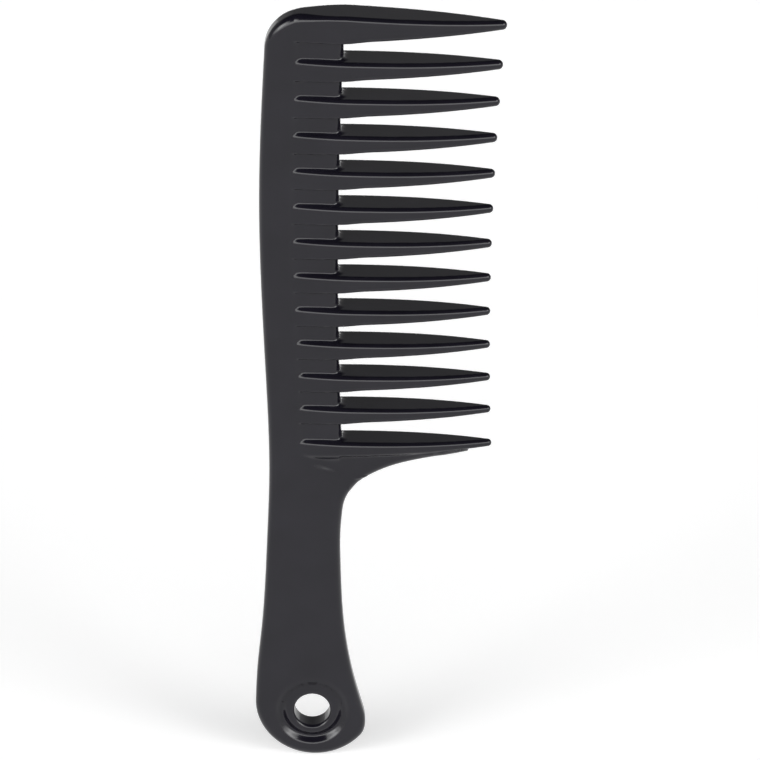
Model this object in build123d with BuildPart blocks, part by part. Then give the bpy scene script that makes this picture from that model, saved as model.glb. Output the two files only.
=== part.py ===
from build123d import *
import os

# Wide tooth comb, moulded in one piece, in millimetres.
# It stands head up: Z runs along its length, X from the back of the spine to the tooth tips,
# and Y through its thickness. The front faces -Y. The origin is the centre of the hanging hole.

# head
spine_thickness = 7.9
head_edge_radius = 1.5
head_top = 231.5
head_back_x = -13.4
head_corner_radius = 11.5
rib_start_x = -4.5

# teeth, counted from the head end
tooth_count = 13
second_tooth_z = 213.75
first_pitch = 11.93
pitch_step = 0.133
last_pitch = 11.3
end_tooth_width = 8.5
root_width_top = 5.95
root_width_bottom = 4.85
tip_radius_top = 1.5
tip_radius_bottom = 1.15
tip_line_x = 53.2
tip_line_z = 125.0
tip_line_curve = 0.00043
tooth_rise = 0.35
depth_top = 11.1
depth_bottom = 10.4
deepest_x = 14.0
depth_swell = 0.00968
depth_power = 2.4

# webs between the teeth
web_thickness = 6.4
web_end_x = 8.1
web_end_z = 146.0
web_end_curve = 0.00032
web_edge_radius = 1.2
end_tooth_bulge = 0.04

# neck and handle
handle_thickness = 7.0
handle_edge_radius = 2.4
neck_bottom = 62.0
neck_back_x = -13.2
neck_front_x = 9.03
fillet_end_x = 41.0
handle_end_left = (-17.1, 1.9)
handle_end_low = (0.3, -15.6)
handle_end_right = (16.9, -6.0)
handle_corner_radius = 3.0

# hanging hole, its collar and the dish around the collar
hole_radius = 5.4
hole_edge_radius = 1.0
crest_radius = 7.4
collar_radius = 9.2
dish_radius = 12.2
dish_depth = 1.3

LENGTHWAYS = Plane.XZ
ROUND_ENOUGH = 0.96


def is_end_tooth(index):
    return index == 0


def share_down(index):
    """0 at the second tooth and 1 at the last."""
    return max(index - 1, 0) / (tooth_count - 2)


def tooth_width(index):
    """Width of a tooth along Z where it leaves the head."""
    if is_end_tooth(index):
        return end_tooth_width
    return root_width_top + (root_width_bottom - root_width_top) * share_down(index)


def tip_radius(index):
    return tip_radius_top + (tip_radius_bottom - tip_radius_top) * share_down(index)


def tooth_z(index):
    """Height of a tooth's centre line at its root. The pitch shrinks evenly from the head end down."""
    if is_end_tooth(index):
        return head_top - end_tooth_width / 2
    steps = min(index - 1, tooth_count - 3)
    z = second_tooth_z - steps * first_pitch + pitch_step * steps * (steps - 1) / 2
    if index == tooth_count - 1:
        z -= last_pitch
    return z


def tip_z(index):
    """Height of a tooth's centre line at its tip. The end tooth droops and the others rise a little."""
    return tooth_z(index) + (-tooth_rise if is_end_tooth(index) else tooth_rise)


def tip_x(index):
    """The tips lie on a shallow curve, lowest below the middle of the head."""
    return tip_line_x + tip_line_curve * (tooth_z(index) - tip_line_z) ** 2


def web_end(z):
    """X of the bottom of the gaps, which lies on a shallow curve too."""
    return web_end_x + web_end_curve * (z - web_end_z) ** 2


def rib_start(index):
    """The end tooth starts where the corner of the head ends, and the other ribs at the spine."""
    return head_back_x + head_corner_radius if is_end_tooth(index) else rib_start_x


head_bottom = tooth_z(tooth_count - 1) - tooth_width(tooth_count - 1) / 2


def make_spine():
    """Rail along the back of the head, with the large round corner at the top."""
    corner_x = rib_start(0)
    under_end_tooth = head_top - end_tooth_width
    with BuildPart() as spine:
        with BuildSketch(LENGTHWAYS):
            with BuildLine():
                back = Spline(
                    (-12.65, head_bottom), (-13.5, 112), (-15.2, 164), (-14.5, 200),
                    (head_back_x, head_top - head_corner_radius),
                )
                corner = RadiusArc(back @ 1, (corner_x, head_top), head_corner_radius)
                Polyline(
                    corner @ 1,
                    (corner_x, under_end_tooth),
                    (rib_start_x, under_end_tooth),
                    (rib_start_x, head_bottom),
                    back @ 0,
                )
            make_face()
        extrude(amount=spine_thickness / 2, both=True)
        faces_outside = spine.faces().filter_by(Axis.Y)
        rim = faces_outside.edges().filter_by(GeomType.BSPLINE) + faces_outside.edges().filter_by(GeomType.CIRCLE)
        fillet(rim, radius=head_edge_radius)
    return spine


def along(x, index):
    """Share of the free length of a tooth at x: 0 at the bottom of the gaps and 1 at the tip.

    It is negative across the head, where the ribs go on widening, except for the end tooth.
    """
    root_x = web_end(tooth_z(index))
    share = (x - root_x) / (tip_x(index) - tip_radius(index) - root_x)
    return max(share, 0) if is_end_tooth(index) else share


def tooth_middle(x, index):
    """Height of a tooth's centre line at x."""
    return tooth_z(index) + (tip_z(index) - tooth_z(index)) * along(x, index)


def tooth_half_width(x, index):
    """Half the width of a tooth at x. It narrows evenly from the spine to the tip."""
    root, tip = tooth_width(index) / 2, tip_radius(index)
    return root + (tip - root) * along(x, index)


def tooth_depth(x, index):
    """Depth of a tooth along Y at x. It swells from the spine to just past the head, then falls to the tip."""
    deepest = depth_top + (depth_bottom - depth_top) * share_down(index)
    tip = 2 * tip_radius(index)
    if x < deepest_x:
        return deepest - depth_swell * (deepest_x - x) ** 2
    share = (x - deepest_x) / (tip_x(index) - tip_radius(index) - deepest_x)
    return tip + (deepest - tip) * (1 - share**depth_power)


def make_tooth(index):
    """A rib that grows out of the spine and the free tooth beyond it, tapering to a round tip."""
    radius = ROUND_ENOUGH * tip_radius(index)
    tip_start = tip_x(index) - radius
    length = tip_start - rib_start(index)
    with BuildPart() as tooth:
        for share in (0, 0.12, 0.24, 0.36, 0.48, 0.6, 0.72, 0.84, 0.93, 1):
            x = rib_start(index) + length * share
            half_width = max(tooth_half_width(x, index), tip_radius(index))
            with BuildSketch(Plane.YZ.offset(x)):
                with Locations((0, tooth_middle(x, index))):
                    depth = max(tooth_depth(x, index), 2 * tip_radius(index))
                    RectangleRounded(depth, 2 * half_width, min(head_edge_radius, ROUND_ENOUGH * half_width))
        loft()
        with Locations((tip_start, 0, tooth_middle(tip_start, index))):
            Sphere(radius)
    return tooth


def above(x, index):
    """Height of a tooth's upper side at x."""
    return tooth_middle(x, index) + tooth_half_width(x, index)


def below(x, index):
    """Height of a tooth's lower side at x."""
    return tooth_middle(x, index) - tooth_half_width(x, index)


def make_web(index):
    """Panel between two ribs, thinner than they are, with a rounded edge at the bottom of the gap."""
    end = web_end((tooth_z(index) + tooth_z(index + 1)) / 2)
    room = end_tooth_bulge if is_end_tooth(index) else 0
    with BuildPart() as web:
        with BuildSketch(LENGTHWAYS):
            with BuildLine():
                Polyline(
                    (rib_start_x, above(rib_start_x, index + 1)),
                    (end, above(end, index + 1)),
                    (end, below(end, index) - room),
                    (rib_start_x, below(rib_start_x, index) - room),
                    close=True,
                )
            make_face()
        extrude(amount=web_thickness / 2, both=True)
        fillet(web.faces().sort_by(Axis.X)[-1].edges().group_by(Axis.Y)[0], radius=web_edge_radius)
        fillet(web.faces().sort_by(Axis.X)[-1].edges().group_by(Axis.Y)[-1], radius=web_edge_radius)
    return web


def make_neck():
    """Where the spine and a web under the last tooth run down into the handle."""
    last = tooth_count - 1
    with BuildPart() as neck:
        with BuildSketch(LENGTHWAYS) as outline:
            with BuildLine():
                back = Spline((neck_back_x, neck_bottom), (-12.75, 72), (-12.65, head_bottom))
                Polyline(
                    back @ 1,
                    (rib_start_x, head_bottom),
                    (rib_start_x, below(rib_start_x, last)),
                    (fillet_end_x, below(fillet_end_x, last)),
                    (fillet_end_x, below(fillet_end_x, last) - 0.4),
                )
                hollow = Spline(
                    (fillet_end_x, below(fillet_end_x, last) - 0.4), (32.1, 84.7), (26.1, 83.2), (20.2, 80.9),
                    (14.2, 77.2), (11.25, 73.8), (9.8, 70.5), (9.2, 66.5), (neck_front_x, neck_bottom),
                )
                Line(hollow @ 1, back @ 0)
            make_face()
        extrude(amount=web_thickness / 2, both=True)
        with BuildSketch(Plane.YZ.offset(-20)):
            with BuildLine():
                Polyline(
                    (spine_thickness / 2, head_bottom),
                    (handle_thickness / 2, neck_bottom),
                    (-handle_thickness / 2, neck_bottom),
                    (-spine_thickness / 2, head_bottom),
                    close=True,
                )
            make_face()
        extrude(amount=20 + neck_front_x)
        extrude(outline.sketch, amount=spine_thickness / 2, both=True, mode=Mode.INTERSECT)
    return neck


def make_handle():
    """Flat grip, flared towards a round end, with a dish around the hanging hole's collar."""
    with BuildPart() as handle:
        with BuildSketch(LENGTHWAYS) as outline:
            with BuildLine():
                back = Spline(
                    (neck_back_x, neck_bottom), (-14.0, 43.5), (-15.9, 19.6), handle_end_left,
                    tangents=((-0.045, -1), (0, -1)),
                )
                low = ThreePointArc(handle_end_left, handle_end_low, handle_end_right)
                front = Spline(
                    handle_end_right, (13.0, 8.6), (9.75, 27.8), (8.68, 49.0), (neck_front_x, neck_bottom),
                )
                Line(front @ 1, back @ 0)
            make_face()
            corner = outline.vertices().sort_by_distance(low @ 1)[0]
            fillet(corner, radius=handle_corner_radius)
        extrude(amount=handle_thickness / 2, both=True)
        sides = handle.faces().filter_by(Axis.Y).edges()
        rim = [edge for edge in sides if edge.center().Z < neck_bottom - 0.01]
        fillet(rim, radius=handle_edge_radius)
        with BuildSketch(Plane.XY):
            with BuildLine():
                half = handle_thickness / 2
                Polyline(
                    (0, half), (dish_radius, half), (collar_radius, half - dish_depth),
                    (collar_radius, dish_depth - half), (dish_radius, -half), (0, -half),
                    close=True,
                )
            make_face()
        revolve(axis=Axis.Y, mode=Mode.SUBTRACT)
    return handle


def make_hang_ring():
    """Raised round collar around the hanging hole."""
    half = handle_thickness / 2
    low = half - dish_depth
    with BuildPart() as hang_ring:
        with BuildSketch(Plane.XY) as profile:
            with BuildLine():
                Polyline(
                    (hole_radius, half), (crest_radius, half), (collar_radius, low),
                    (collar_radius, -low), (crest_radius, -half), (hole_radius, -half),
                    close=True,
                )
            make_face()
            inner = profile.vertices().group_by(Axis.X)[0]
            fillet(inner, radius=hole_edge_radius)
        revolve(axis=Axis.Y)
    return hang_ring


def save(piece, name):
    piece.part.label = name
    export_step(piece.part, f"parts/{name}.step")


os.makedirs("parts", exist_ok=True)
save(make_spine(), "spine")
save(make_neck(), "neck")
save(make_handle(), "handle")
save(make_hang_ring(), "hang_ring")
for index in range(tooth_count):
    save(make_tooth(index), f"tooth_{index + 1:02d}")
for index in range(tooth_count - 1):
    save(make_web(index), f"web_{index + 1:02d}")
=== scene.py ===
"""Glossy black wide tooth comb: one smooth moulded skin, divided into its regions, on a pale studio floor.

Sizes inside this script are in millimetres, and they are turned into metres where meshes and lights are made.
"""
import math

import bmesh
import bpy
import numpy as np
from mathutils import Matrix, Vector


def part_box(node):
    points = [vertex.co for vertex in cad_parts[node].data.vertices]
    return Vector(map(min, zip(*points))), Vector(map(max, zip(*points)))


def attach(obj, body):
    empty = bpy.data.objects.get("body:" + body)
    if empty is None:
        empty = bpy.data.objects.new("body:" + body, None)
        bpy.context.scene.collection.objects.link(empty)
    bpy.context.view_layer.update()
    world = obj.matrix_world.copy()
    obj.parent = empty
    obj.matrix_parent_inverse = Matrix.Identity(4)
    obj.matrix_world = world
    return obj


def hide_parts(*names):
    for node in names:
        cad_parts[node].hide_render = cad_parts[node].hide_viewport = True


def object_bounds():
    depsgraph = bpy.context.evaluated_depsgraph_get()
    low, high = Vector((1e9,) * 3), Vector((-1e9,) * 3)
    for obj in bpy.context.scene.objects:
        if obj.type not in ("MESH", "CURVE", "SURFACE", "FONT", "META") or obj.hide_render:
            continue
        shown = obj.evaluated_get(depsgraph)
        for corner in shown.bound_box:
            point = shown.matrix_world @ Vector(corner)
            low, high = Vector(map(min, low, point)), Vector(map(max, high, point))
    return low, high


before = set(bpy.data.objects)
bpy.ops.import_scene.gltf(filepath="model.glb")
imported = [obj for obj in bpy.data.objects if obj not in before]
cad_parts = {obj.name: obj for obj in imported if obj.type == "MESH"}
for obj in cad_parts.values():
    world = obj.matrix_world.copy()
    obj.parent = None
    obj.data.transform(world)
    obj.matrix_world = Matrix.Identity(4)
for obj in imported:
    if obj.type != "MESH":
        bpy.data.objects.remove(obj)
cad_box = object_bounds()

MM = 0.001
GRAIN = 0.5


# ---------------------------------------------------------------- sizes from the CAD frame

def box_mm(node):
    low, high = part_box(node)
    return np.array([low, high]) / MM


tooth_names = sorted(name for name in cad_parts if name.startswith("tooth_"))
web_names = sorted(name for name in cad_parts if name.startswith("web_"))
tooth_boxes = np.array([box_mm(name) for name in tooth_names])
web_boxes = np.array([box_mm(name) for name in web_names])

LAST = len(tooth_names) - 1
TIP_X = tooth_boxes[:, 1, 0]
DEEPEST = tooth_boxes[:, 1, 1]
RIB_START = box_mm("web_01")[0, 0]
CORNER_END = tooth_boxes[0, 0, 0]
SPINE_HALF = box_mm("spine")[1, 1]
HEAD_TOP = box_mm("spine")[1, 2]
HEAD_BOTTOM = box_mm("neck")[1, 2]
NECK_BOTTOM = box_mm("neck")[0, 2]
WEB_HALF = web_boxes[0, 1, 1]
HANDLE_HALF = 3.5
HOLE_RADIUS = 5.4

# moulded shape
TIP_RADIUS = np.interp(np.arange(LAST + 1), [1, LAST], [1.5, 1.15])
TOOTH_RISE = np.where(np.arange(LAST + 1) == 0, -0.35, 0.35)
DEEPEST_X = 14.0
DEPTH_SWELL = 0.00484
DEPTH_POWER = 2.4
WEB_SWELL = 0.045
TOOTH_EDGE = 1.5
BACK_EDGE = 2.6
LOWER_EDGE = 0.5
HANDLE_EDGE = 2.4
WEB_EDGE = 2.2
HOLE_EDGE = 1.0
CORNER_RADIUS = 11.5
END_CORNER_RADIUS = 3.0
RAIL_RAMP = 3.6
NECK_RAMP = 7.0
NECK_WEB_HALF = 3.55
RIB_FILLET = 0.9
LOWER_FILLET = 0.6
LAST_FILLET = 3.0
DIMPLE_X = 3.6
DIMPLE_Z = 85.2
DIMPLE_LENGTH = 4.5
DIMPLE_WIDTH = 1.8
DIMPLE_DEPTH = 0.3
DIMPLE_SLOPE = 0.4
ROOT_FILLET = 1.2
INSET = 1.3
GAP_CORNER = 2.8
RING_EDGE = 9.0
TAIL_CUT = 30.0
CUT_CLEARANCE = 1.4

# the grid that the skin is made on
GRID_MARGIN = 1.2
STEEPEST_CUT = 0.93
PROJECTIONS = 5
LONGEST_MOVE = 0.5

# camera, in degrees, millimetres of lens and metres
CAMERA_ELEVATION = 27
CAMERA_LENS = 477.5
CAMERA_DISTANCE = 3.0
AIM_OFFSET = (0.0002, 0, 0.0024)

# light
SIDE_AZIMUTH = 52
SIDE_ELEVATION = 30
SIDE_SPREAD = 26
SIDE_LEVEL = 0.7
STRIP_LEVEL = 4.2
FLOOR_GLOW = 0.33


# ---------------------------------------------------------------- the comb's shape as one field

def curve(*points):
    """Natural cubic spline through (position, value) points, level beyond both ends."""
    at, value = np.array(points, float).T
    gap = np.diff(at)
    count = len(at)
    system = np.eye(count)
    bend = np.zeros(count)
    for i in range(1, count - 1):
        system[i, i - 1:i + 2] = gap[i - 1], 2 * (gap[i - 1] + gap[i]), gap[i]
        bend[i] = 6 * ((value[i + 1] - value[i]) / gap[i] - (value[i] - value[i - 1]) / gap[i - 1])
    bend = np.linalg.solve(system, bend)

    def evaluate(x):
        x = np.clip(x, at[0], at[-1])
        i = np.clip(np.searchsorted(at, x) - 1, 0, count - 2)
        after, before, width = at[i + 1] - x, x - at[i], gap[i]
        return (
            (bend[i] * after**3 + bend[i + 1] * before**3) / (6 * width)
            + (value[i] / width - bend[i] * width / 6) * after
            + (value[i + 1] / width - bend[i + 1] * width / 6) * before
        )

    return evaluate


def circle_through(a, b, c):
    """Centre and radius of the circle through three points."""
    (ax, az), (bx, bz), (cx, cz) = a, b, c
    rows = np.array([[bx - ax, bz - az], [cx - ax, cz - az]])
    sides = np.array([bx**2 + bz**2 - ax**2 - az**2, cx**2 + cz**2 - ax**2 - az**2]) / 2
    center = np.linalg.solve(rows, sides)
    return center, math.dist(center, a)


# height along the comb, and X of its outline there
back_edge = curve(
    (1.9, -17.1), (12, -16.65), (28, -15.1), (45, -13.95), (62, -13.2), (76, -12.7), (90, -12.7),
    (112, -13.5), (138, -14.6), (164, -15.2), (190, -14.8), (220, -13.4), (228, -13.0),
)
grip_edge = curve(
    (-14, 18.9), (-6, 16.9), (8.6, 13.0), (27.8, 9.75), (49, 8.68), (58, 8.6), (62, 8.75), (66.5, 9.15),
    (70.5, 9.8), (73.8, 11.25), (77.2, 14.2), (79.3, 17.2),
)
# X along the last tooth, and the height of the outline below it
under_last_edge = curve(
    (11.25, 73.8), (14.2, 77.2), (17.2, 79.3), (20.2, 80.9), (26.1, 83.2), (32.1, 84.7), (38, 85.8),
    (44, 86.5), (50, 87.4),
)
# height along the comb, and X where the thick rail ends
pocket_edge = curve(
    (72, 14.5), (75, 12.2), (77.9, 10.1), (81.8, 5.5), (83.3, 1.3), (86.4, -2.6), (92, -3.3),
    (104, -3.3), (150, -5.35), (165, -5.35), (202, -4.6), (214, -4.05), (235, -3.6),
)
# distance from the hole's centre, and half thickness there
ring_profile = curve(
    (5.0, 3.5), (6.9, 3.5), (7.6, 3.3), (8.4, 2.5), (9.1, 1.95), (9.8, 2.05), (10.6, 2.75), (11.3, 3.3),
    (12.1, 3.48), (13.6, 3.5),
)
END_CENTER, END_RADIUS = circle_through((-17.1, 1.9), (0.3, -15.6), (16.9, -6.0))
web_end_fit = np.polyfit(web_boxes[:, :, 2].mean(axis=1), web_boxes[:, 1, 0], 2)


def web_end(z):
    return np.polyval(web_end_fit, z)


# the ribs widen towards the spine, so a tooth's box gives its width at the spine, not at its root
box_middle = tooth_boxes[:, :, 2].mean(axis=1)
box_half = np.ptp(tooth_boxes[:, :, 2], axis=1) / 2
TOOTH_ROOT = web_end(box_middle)
TIP_CENTER = TIP_X - TIP_RADIUS
behind_root = np.where(np.arange(LAST + 1) == 0, 0, (TOOTH_ROOT - RIB_START) / (TIP_CENTER - TOOTH_ROOT))
TOOTH_Z = box_middle + TOOTH_RISE * behind_root
TOOTH_HALF = (box_half + TIP_RADIUS * behind_root) / (1 + behind_root)


def smoothstep(t):
    t = np.clip(t, 0, 1)
    return t * t * (3 - 2 * t)


def mix(a, b, share):
    return a + (b - a) * share


def rounded_both(a, b, radius):
    """Two fields met in an outer edge, which is rounded."""
    a, b = a + radius, b + radius
    return np.minimum(np.maximum(a, b), 0) + np.hypot(np.maximum(a, 0), np.maximum(b, 0)) - radius


def smooth_either(a, b, width):
    """Two fields joined, with a soft fillet between them."""
    overlap = np.maximum(width - np.abs(a - b), 0)
    return np.minimum(a, b) - overlap**2 / (4 * width)


def round_either(a, b, radius):
    """Two fields joined by a circular fillet."""
    inner = np.hypot(np.maximum(radius - a, 0), np.maximum(radius - b, 0))
    return np.maximum(radius, np.minimum(a, b)) - inner


def across(distance, edge, z):
    """Distance to a sloping edge, measured square to it."""
    return distance / np.hypot(1, edge(z + 0.5) - edge(z - 0.5))


def corner(x, z):
    """Distance outside the back and top edges, with the large round corner between them."""
    return rounded_both(across(back_edge(z) - x, back_edge, z), z - HEAD_TOP, CORNER_RADIUS)


def rib_depth(x, index):
    """Half depth of a tooth at x. It swells from the spine to just past the head, then falls to the tip."""
    past = np.clip((x - DEEPEST_X) / (TIP_CENTER[index] - DEEPEST_X), 0, 1)
    free = mix(DEEPEST[index], TIP_RADIUS[index], past**DEPTH_POWER)
    return free - DEPTH_SWELL * np.maximum(DEEPEST_X - x, 0) ** 2


def tooth_shape(x, index):
    """Half width, half depth, edge radius and centre height of a tooth at x."""
    share = (x - TOOTH_ROOT[index]) / (TIP_CENTER[index] - TOOTH_ROOT[index])
    share = np.clip(share, np.where(index == 0, 0, -0.5), 1)
    half_width = mix(TOOTH_HALF[index], TIP_RADIUS[index], share)
    radius = mix(TOOTH_EDGE, TIP_RADIUS[index], np.maximum(share, 0))
    radius = np.where(index == 0, mix(BACK_EDGE, radius, smoothstep((x + 5) / 12)), radius)
    return half_width, rib_depth(x, index), radius, TOOTH_Z[index] + TOOTH_RISE[index] * share


def teeth(x, y, z):
    index = np.abs(z[..., None] - TOOTH_Z).argmin(axis=-1)
    half_width, half_depth, radius, middle = tooth_shape(x, index)
    crisp = mix(LOWER_EDGE, radius, smoothstep((x - TOOTH_ROOT[index]) / 8))
    crisp = np.where(index == LAST, radius, crisp)
    radius = mix(crisp, radius, smoothstep((z - middle) / 2 + 0.5))
    a = np.maximum(np.abs(z - middle) - half_width, corner(x, z)) + radius
    b = y - half_depth + radius
    c = np.maximum(x - TIP_CENTER[index], -8 - x)
    outside = np.sqrt(np.maximum(a, 0) ** 2 + np.maximum(b, 0) ** 2 + np.maximum(c, 0) ** 2)
    return outside + np.minimum(np.maximum(a, b), 0) - radius


def thickness(x, z):
    """Half thickness of the spine, webs, neck and handle."""
    radius = np.hypot(x, z)
    ramp = mix(NECK_RAMP, RAIL_RAMP, smoothstep((z - 80) / 12))
    pocket = smoothstep((x - pocket_edge(z)) / ramp + 0.5)
    web = mix(NECK_WEB_HALF, WEB_HALF + WEB_SWELL * (x - 4), smoothstep((z - HEAD_BOTTOM) / 3))
    web = np.minimum(web, rib_depth(x, LAST) - 0.15)
    down, sideways = DIMPLE_Z - z - DIMPLE_SLOPE * (x - DIMPLE_X), (x - DIMPLE_X) / DIMPLE_LENGTH
    web = web - DIMPLE_DEPTH * np.exp(-(down / DIMPLE_WIDTH) ** 2 - sideways**2)
    plate = mix(mix(HANDLE_HALF, SPINE_HALF, smoothstep((z - 15) / 50)), web, pocket)
    dished = smoothstep(0.62 - 0.5 * z / np.maximum(radius, 1))
    dish = mix(HANDLE_HALF, ring_profile(radius), mix(0.12, 1, dished))
    return np.where(radius < 13.6, dish, plate)


def body(x, y, z, half):
    """The plate that everything grows from: spine, webs, neck and handle."""
    face = y - half
    low = np.where(
        z < END_CENTER[1], np.hypot(x - END_CENTER[0], z - END_CENTER[1]), np.abs(x - END_CENTER[0])
    ) - END_RADIUS
    grip = across(x - grip_edge(z), grip_edge, z)
    under_last = across(under_last_edge(x) - z, under_last_edge, x)
    neck = np.minimum(grip, under_last)
    neck = np.maximum(neck, np.maximum(z - TOOTH_Z[LAST], x - 47))
    index = np.abs(z[..., None] - TOOTH_Z).argmin(axis=-1)
    half_width, _, _, middle = tooth_shape(x, index)
    gap_end = x - web_end(z)
    along_tooth = np.maximum(np.abs(z - middle) - half_width + INSET, gap_end - 4)
    head = np.maximum(round_either(gap_end, along_tooth, GAP_CORNER), TOOTH_Z[LAST] - 6 - z)
    right = np.minimum(neck, head)
    right = np.where(z < 30, rounded_both(right, low, END_CORNER_RADIUS), right)
    left = np.where(z < 30, np.maximum(corner(x, z), low), corner(x, z))

    edge = mix(BACK_EDGE, HANDLE_EDGE, smoothstep((HEAD_BOTTOM - z) / 30))
    grip_round = np.where(z > TOOTH_Z[LAST], WEB_EDGE, edge)
    solid = np.maximum(rounded_both(left, face, edge), rounded_both(right, face, grip_round))
    solid = np.maximum(solid, z - HEAD_TOP + 3 * smoothstep((x - pocket_edge(z) + 2) / 5))
    bore = rounded_both(HOLE_RADIUS - np.hypot(x, z), face, HOLE_EDGE)
    return np.where(np.hypot(x, z) < 10, np.maximum(solid, bore), solid)


def comb(x, y, z):
    """Negative inside the comb, zero on its skin."""
    y = np.abs(y)
    half = thickness(x, z)
    index = np.abs(z[..., None] - TOOTH_Z).argmin(axis=-1)
    below = np.where(index == LAST, LAST_FILLET, LOWER_FILLET)
    widest = mix(below, RIB_FILLET, smoothstep((z - TOOTH_Z[index]) / 2 + 0.5))
    widest = mix(widest, ROOT_FILLET, smoothstep((x - web_end(z) + 1.2) / 0.8))
    room = (rib_depth(x, index) - half) * np.where(z < TOOTH_Z[LAST], 1.6, 1)
    width = np.clip(room, 0.001, widest)
    return smooth_either(teeth(x, y, z), body(x, y, z, half), width)


# ---------------------------------------------------------------- the skin as a mesh

def layers(stops, step):
    """Positions about a step apart that include every stop."""
    parts = [
        np.linspace(a, b, max(int(round((b - a) / step)), 1), endpoint=False)
        for a, b in zip(stops, stops[1:])
    ]
    return np.concatenate(parts + [[stops[-1]]])


def slope(points, step=0.01):
    """Gradient of the field."""
    moves = np.eye(3) * step
    rises = [comb(*(points + move).T) - comb(*(points - move).T) for move in moves]
    return np.stack([rise / (2 * step) for rise in rises], axis=1)


PIECES = ["spine", "neck", "handle", "hang_ring"] + tooth_names + web_names
node_boxes = np.array([box_mm(name) for name in PIECES])
LOW = node_boxes[:, 0].min(axis=0)
HIGH = node_boxes[:, 1].max(axis=0)
beside_teeth = TOOTH_HALF + CUT_CLEARANCE
tooth_cuts = [TOOTH_Z[i] + side * beside_teeth[i] for i in range(LAST + 1) for side in (1, -1)][1:]
HEAD_CUT = tooth_cuts[-1]
x_cuts = [RIB_START, CORNER_END, TAIL_CUT]
z_cuts = [NECK_BOTTOM] + sorted(tooth_cuts)
grid_layers = [
    layers([LOW[0] - GRID_MARGIN] + x_cuts + [HIGH[0] + GRID_MARGIN], GRAIN),
    layers([LOW[1] - GRID_MARGIN, 0, HIGH[1] + GRID_MARGIN], GRAIN),
    layers([LOW[2] - GRID_MARGIN] + z_cuts + [HIGH[2] + GRID_MARGIN], GRAIN),
]


def make_skin():
    """Points on the skin, their normals, and quads between them."""
    nodes = [(a[1:] + a[:-1]) / 2 for a in grid_layers]
    value = comb(nodes[0][:, None, None], nodes[1][None, :, None], nodes[2][None, None, :])
    inside = value < 0
    corners = [(i, j, k) for i in (0, 1) for j in (0, 1) for k in (0, 1)]
    cells = [n - 1 for n in inside.shape]
    around = sum(
        inside[i:i + cells[0], j:j + cells[1], k:k + cells[2]].astype(np.int8) for i, j, k in corners
    )
    active = (around > 0) & (around < 8)
    number = np.full(active.shape, -1)
    number[active] = np.arange(active.sum())
    cell = np.argwhere(active)

    # each point starts at the middle of the skin's crossings of its cell's edges
    total = np.zeros((len(cell), 3))
    count = np.zeros(len(cell))
    for start in corners:
        for axis in range(3):
            if start[axis]:
                continue
            end = tuple(1 if a == axis else s for a, s in enumerate(start))
            first = value[tuple((cell + start).T)]
            second = value[tuple((cell + end).T)]
            crossed = (first < 0) != (second < 0)
            share = np.where(crossed, first / np.where(crossed, first - second, 1), 0)
            at = np.stack([nodes[a][cell[:, a] + start[a]] for a in range(3)], axis=1)
            at[:, axis] += share * (nodes[axis][cell[:, axis] + 1] - nodes[axis][cell[:, axis]])
            total += at * crossed[:, None]
            count += crossed
    points = total / count[:, None]

    # points on a cut stay on it, and all are drawn onto the skin
    gradient = slope(points)
    gradient /= np.linalg.norm(gradient, axis=1)[:, None]
    held = np.zeros(points.shape, bool)
    layer_x, layer_z = (grid_layers[axis][1:-1][cell[:, axis]] for axis in (0, 2))
    meeting_x = (layer_x == RIB_START) & (layer_z < tooth_cuts[0] + 1) & (layer_z > HEAD_CUT - 1)
    meeting_x |= (layer_x == CORNER_END) & (layer_z > tooth_cuts[0] - 1)
    meeting_x |= (layer_x == TAIL_CUT) & (layer_z < HEAD_CUT + 9)
    furthest = np.where(layer_z > HEAD_CUT, web_end(layer_z) + 3, TAIL_CUT + 1)
    meeting_z = np.isin(layer_z, z_cuts) & (layer_x < furthest)
    for axis, layer, meeting in ((0, layer_x, meeting_x), (2, layer_z, meeting_z)):
        on_cut = meeting & (np.abs(gradient[:, axis]) < STEEPEST_CUT)
        points[on_cut, axis] = layer[on_cut]
        held[on_cut, axis] = True
    for _ in range(PROJECTIONS):
        gradient = np.where(held, 0, slope(points))
        length = (gradient**2).sum(axis=1)
        move = comb(*points.T) / np.maximum(length, 0.05)
        points -= gradient * np.clip(move, -LONGEST_MOVE, LONGEST_MOVE)[:, None]

    # two cuts cross the skin in a single point on each face of the comb
    crossing = np.flatnonzero(held[:, 0] & held[:, 2])
    spot = np.column_stack([points[crossing, 0], points[crossing, 2], points[crossing, 1] > 0]).round(6)
    _, first, same = np.unique(spot, axis=0, return_index=True, return_inverse=True)
    number[tuple(cell[crossing].T)] = crossing[first[same.ravel()]]

    faces = []
    for axis in range(3):
        b, c = (axis + 1) % 3, (axis + 2) % 3
        ahead = [slice(None)] * 3
        ahead[axis] = slice(1, None)
        behind = [slice(None)] * 3
        behind[axis] = slice(0, -1)
        changed = np.argwhere(inside[tuple(ahead)] != inside[tuple(behind)])
        ring = []
        for db, dc in ((-1, -1), (0, -1), (0, 0), (-1, 0)):
            move = np.zeros(3, int)
            move[b], move[c] = db, dc
            ring.append(number[tuple((changed + move).T)])
        quad = np.stack(ring, axis=1)
        leaving = inside[tuple(changed.T)]
        quad[~leaving] = quad[~leaving][:, ::-1]
        faces.append(quad)
    return points, np.concatenate(faces)


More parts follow.
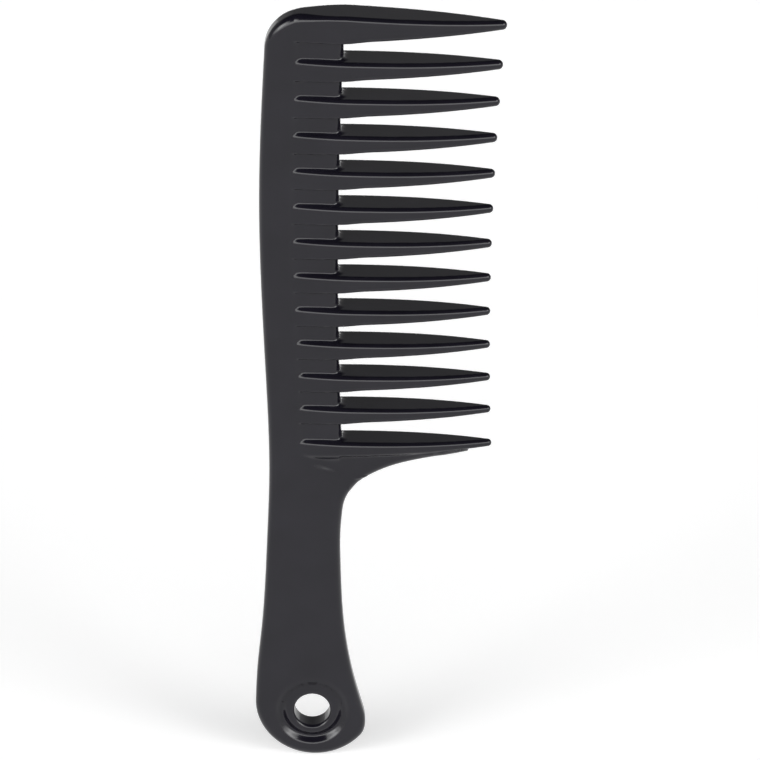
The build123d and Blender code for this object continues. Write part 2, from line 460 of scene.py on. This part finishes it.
def region(x, z):
    """Which piece a place on the skin belongs to."""
    tooth = np.abs(z[:, None] - TOOTH_Z).argmin(axis=1)
    gap = np.searchsorted(-np.array(tooth_cuts[0::2]), -z) - 1
    in_gap = (gap >= 0) & (gap < LAST) & (z > np.array(tooth_cuts[1::2] + [0])[np.clip(gap, 0, LAST - 1)])
    place = 4 + tooth
    place = np.where(in_gap & (x < web_end(z) + 2), 4 + LAST + 1 + gap, place)
    under_top = z < tooth_cuts[0]
    place = np.where(np.where(under_top, x < RIB_START, x < CORNER_END), 0, place)
    place = np.where((z < HEAD_CUT) & (x < TAIL_CUT), 1, place)
    place = np.where(z < NECK_BOTTOM, 2, place)
    return np.where(np.hypot(x, z) < RING_EDGE, 3, place)


def draw_to_ring(points, faces, place):
    """Moves the points between the collar and the handle onto a circle."""
    touched = [np.zeros(len(points), bool) for _ in range(2)]
    for flag, piece in zip(touched, (2, 3)):
        flag[faces[place == piece].ravel()] = True
    rim = touched[0] & touched[1]
    radius = np.hypot(points[rim, 0], points[rim, 2])
    points[rim] *= np.stack([RING_EDGE / radius, np.ones(len(radius)), RING_EDGE / radius], axis=1)
    side = np.sign(points[rim, 1])
    points[rim, 1] = side * ring_profile(np.hypot(points[rim, 0], points[rim, 2]))


def close(bm):
    """Closes a piece where it was cut from its neighbours."""
    rim = [edge for edge in bm.edges if edge.is_boundary]
    verts = {vert for edge in rim for vert in edge.verts}
    columns = {}
    planes = {}
    for vert in verts:
        on_x = next((c for c in x_cuts if abs(vert.co.x / MM - c) < 0.002), None)
        on_z = next((c for c in z_cuts if abs(vert.co.z / MM - c) < 0.002), None)
        if on_x is not None and on_z is not None:
            columns.setdefault((on_x, on_z), []).append(vert)
        for plane in (("x", on_x), ("z", on_z)):
            if plane[1] is not None:
                planes.setdefault(plane, set()).add(vert)
    for ends in columns.values():
        if len(ends) == 2 and not bm.edges.get(ends):
            rim.append(bm.edges.new(ends))
    for members in planes.values():
        edges = [edge for edge in rim if edge.verts[0] in members and edge.verts[1] in members]
        bmesh.ops.edgenet_fill(bm, edges=edges, mat_nr=0)


def build(name, points, normals, faces):
    """One piece of the skin as a closed mesh with the skin's own normals."""
    used, index = np.unique(faces, return_inverse=True)
    index = index.reshape(faces.shape)
    bm = bmesh.new()
    skin_point = bm.verts.layers.int.new("skin_point")
    for number, co in zip(used, points[used] * MM):
        bm.verts.new(co)[skin_point] = int(number)
    bm.verts.ensure_lookup_table()
    for quad in index:
        ring = list(dict.fromkeys(quad.tolist()))
        if len(ring) > 2:
            bm.faces.new([bm.verts[i] for i in ring])
    count = len(bm.faces)
    close(bm)
    # the collar and the handle meet on two circles, which a band joins through the thickness
    loops = [edge for edge in bm.edges if edge.is_boundary]
    if loops and name in ("handle_skin", "hang_ring_skin"):
        bmesh.ops.bridge_loops(bm, edges=loops)
    mesh = bpy.data.meshes.new(name)
    bm.to_mesh(mesh)
    bm.free()

    mesh.shade_smooth()
    corner_vert = np.empty(len(mesh.loops), int)
    mesh.loops.foreach_get("vertex_index", corner_vert)
    point = np.array([item.value for item in mesh.attributes["skin_point"].data])
    mesh.attributes.remove(mesh.attributes["skin_point"])
    corner_normals = normals[point[corner_vert]]
    for polygon in list(mesh.polygons)[count:]:
        for i in polygon.loop_indices:
            corner_normals[i] = polygon.normal
    mesh.normals_split_custom_set(corner_normals)
    piece = bpy.data.objects.new(name, mesh)
    bpy.context.collection.objects.link(piece)
    return piece


# ---------------------------------------------------------------- black moulded plastic

def plastic():
    material = bpy.data.materials.new("black_plastic")
    material.use_nodes = True
    tree = material.node_tree
    shader = tree.nodes["Principled BSDF"]
    shader.inputs["IOR"].default_value = 1.42
    place = tree.nodes.new("ShaderNodeTexCoord")

    def noise(scale, detail, rough=0.5):
        node = tree.nodes.new("ShaderNodeTexNoise")
        node.inputs["Scale"].default_value = scale
        node.inputs["Detail"].default_value = detail
        node.inputs["Roughness"].default_value = rough
        tree.links.new(place.outputs["Object"], node.inputs["Vector"])
        return node

    def ramp(source, *stops):
        node = tree.nodes.new("ShaderNodeValToRGB")
        for element, (position, color) in zip(node.color_ramp.elements, stops):
            element.position = position
            element.color = (*color, 1)
        tree.links.new(source, node.inputs["Fac"])
        return node

    darker = (0.3, (0.004, 0.0036, 0.0062))
    paler = (0.7, (0.0062, 0.0056, 0.009))
    tint = ramp(noise(90, 4).outputs["Fac"], darker, paler)
    tree.links.new(tint.outputs["Color"], shader.inputs["Base Color"])

    gloss = tree.nodes.new("ShaderNodeMapRange")
    gloss.inputs["From Min"].default_value = 0.3
    gloss.inputs["From Max"].default_value = 0.7
    gloss.inputs["To Min"].default_value = 0.1
    gloss.inputs["To Max"].default_value = 0.2
    tree.links.new(noise(55, 6, 0.65).outputs["Fac"], gloss.inputs["Value"])
    tree.links.new(gloss.outputs["Result"], shader.inputs["Roughness"])

    waves = tree.nodes.new("ShaderNodeBump")
    waves.inputs["Strength"].default_value = 0.12
    waves.inputs["Distance"].default_value = 0.0006
    tree.links.new(noise(70, 2).outputs["Fac"], waves.inputs["Height"])
    peel = tree.nodes.new("ShaderNodeBump")
    peel.inputs["Strength"].default_value = 0.05
    peel.inputs["Distance"].default_value = 0.0001
    tree.links.new(noise(900, 3).outputs["Fac"], peel.inputs["Height"])
    tree.links.new(waves.outputs["Normal"], peel.inputs["Normal"])
    tree.links.new(peel.outputs["Normal"], shader.inputs["Normal"])
    return material


# ---------------------------------------------------------------- camera, floor and light

def look_at(thing, target):
    direction = Vector(target) - thing.location
    thing.rotation_euler = direction.to_track_quat("-Z", "Y").to_euler()


def make_camera():
    middle = (Vector(cad_box[0]) + Vector(cad_box[1])) / 2
    target = middle + Vector(AIM_OFFSET)
    elevation = math.radians(CAMERA_ELEVATION)
    data = bpy.data.cameras.new("camera")
    data.sensor_width = 36
    data.lens = CAMERA_LENS
    data.clip_end = 200
    camera = bpy.data.objects.new("camera", data)
    camera.location = target + CAMERA_DISTANCE * Vector((0, -math.cos(elevation), math.sin(elevation)))
    bpy.context.collection.objects.link(camera)
    look_at(camera, target)
    bpy.context.scene.camera = camera


def make_floor():
    size, drop = 80.0, cad_box[0][2]
    mesh = bpy.data.meshes.new("floor")
    mesh.from_pydata([(-size, -size, drop), (size, -size, drop), (size, size, drop), (-size, size, drop)], [],
                     [(0, 1, 2, 3)])
    floor = bpy.data.objects.new("floor", mesh)
    bpy.context.collection.objects.link(floor)
    material = bpy.data.materials.new("floor")
    material.use_nodes = True
    shader = material.node_tree.nodes["Principled BSDF"]
    shader.inputs["Base Color"].default_value = (0.9, 0.9, 0.9, 1)
    shader.inputs["Roughness"].default_value = 0.9
    shader.inputs["Specular IOR Level"].default_value = 0.0
    shader.inputs["Emission Color"].default_value = (1, 1, 1, 1)
    shader.inputs["Emission Strength"].default_value = FLOOR_GLOW
    mesh.materials.append(material)


def softbox(name, azimuth, elevation, spread, strength):
    """Distant round softbox. Azimuth 0 is in front, and positive is to the right."""
    data = bpy.data.lights.new(name, "SUN")
    data.angle = math.radians(spread)
    data.energy = strength
    lamp = bpy.data.objects.new(name, data)
    a, e = math.radians(azimuth), math.radians(elevation)
    lamp.location = math.sin(a) * math.cos(e), -math.cos(a) * math.cos(e), math.sin(e)
    bpy.context.collection.objects.link(lamp)
    look_at(lamp, (0, 0, 0))


def make_world():
    """A pale room: dark overhead and dim behind, with a long bright softbox across the front."""
    world = bpy.data.worlds.new("studio")
    bpy.context.scene.world = world
    world.use_nodes = True
    tree = world.node_tree
    place = tree.nodes.new("ShaderNodeTexCoord")
    split = tree.nodes.new("ShaderNodeSeparateXYZ")
    tree.links.new(place.outputs["Generated"], split.inputs["Vector"])

    def ramp(source, *stops):
        node = tree.nodes.new("ShaderNodeValToRGB")
        while len(node.color_ramp.elements) < len(stops):
            node.color_ramp.elements.new(0.5)
        for element, (position, level) in zip(node.color_ramp.elements, stops):
            element.position = position
            element.color = (level, level, level, 1)
        tree.links.new(source, node.inputs["Fac"])
        return node.outputs["Color"]

    def combine(operation, a, b):
        node = tree.nodes.new("ShaderNodeMath")
        node.operation = operation
        for socket, value in zip(node.inputs, (a, b)):
            if isinstance(value, (int, float)):
                socket.default_value = value
            else:
                tree.links.new(value, socket)
        return node.outputs["Value"]

    up = split.outputs["Z"]
    room = ramp(up, (0.2, 0.4), (0.46, 0.24), (0.64, 0.035), (1.0, 0.02))
    strip = ramp(up, (0.0, 0.2), (0.13, 0.2), (0.24, 1.0), (0.48, 1.0), (0.58, 0.0))
    front = ramp(combine("MULTIPLY", split.outputs["Y"], -1), (0.05, 0.0), (0.4, 1.0))
    light = combine("MULTIPLY", combine("MULTIPLY", strip, front), STRIP_LEVEL)
    tree.links.new(combine("ADD", room, light), tree.nodes["Background"].inputs["Strength"])
    tree.nodes["Background"].inputs["Color"].default_value = (1, 1, 1, 1)


# ---------------------------------------------------------------- the scene

make_camera()
bpy.context.scene.view_settings.view_transform = "Standard"
make_floor()
make_world()
softbox("softbox_left", -SIDE_AZIMUTH, SIDE_ELEVATION, SIDE_SPREAD, SIDE_LEVEL)
softbox("softbox_right", SIDE_AZIMUTH, SIDE_ELEVATION, SIDE_SPREAD, SIDE_LEVEL)

points, faces = make_skin()
centers = points[faces].mean(axis=1)
place = region(centers[:, 0], centers[:, 2])
draw_to_ring(points, faces, place)
normals = slope(points)
normals /= np.linalg.norm(normals, axis=1)[:, None]
material = plastic()
for number, name in enumerate(PIECES):
    piece = build(name + "_skin", points, normals, faces[place == number])
    piece.data.materials.append(material)
    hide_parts(name)
    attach(piece, "root")
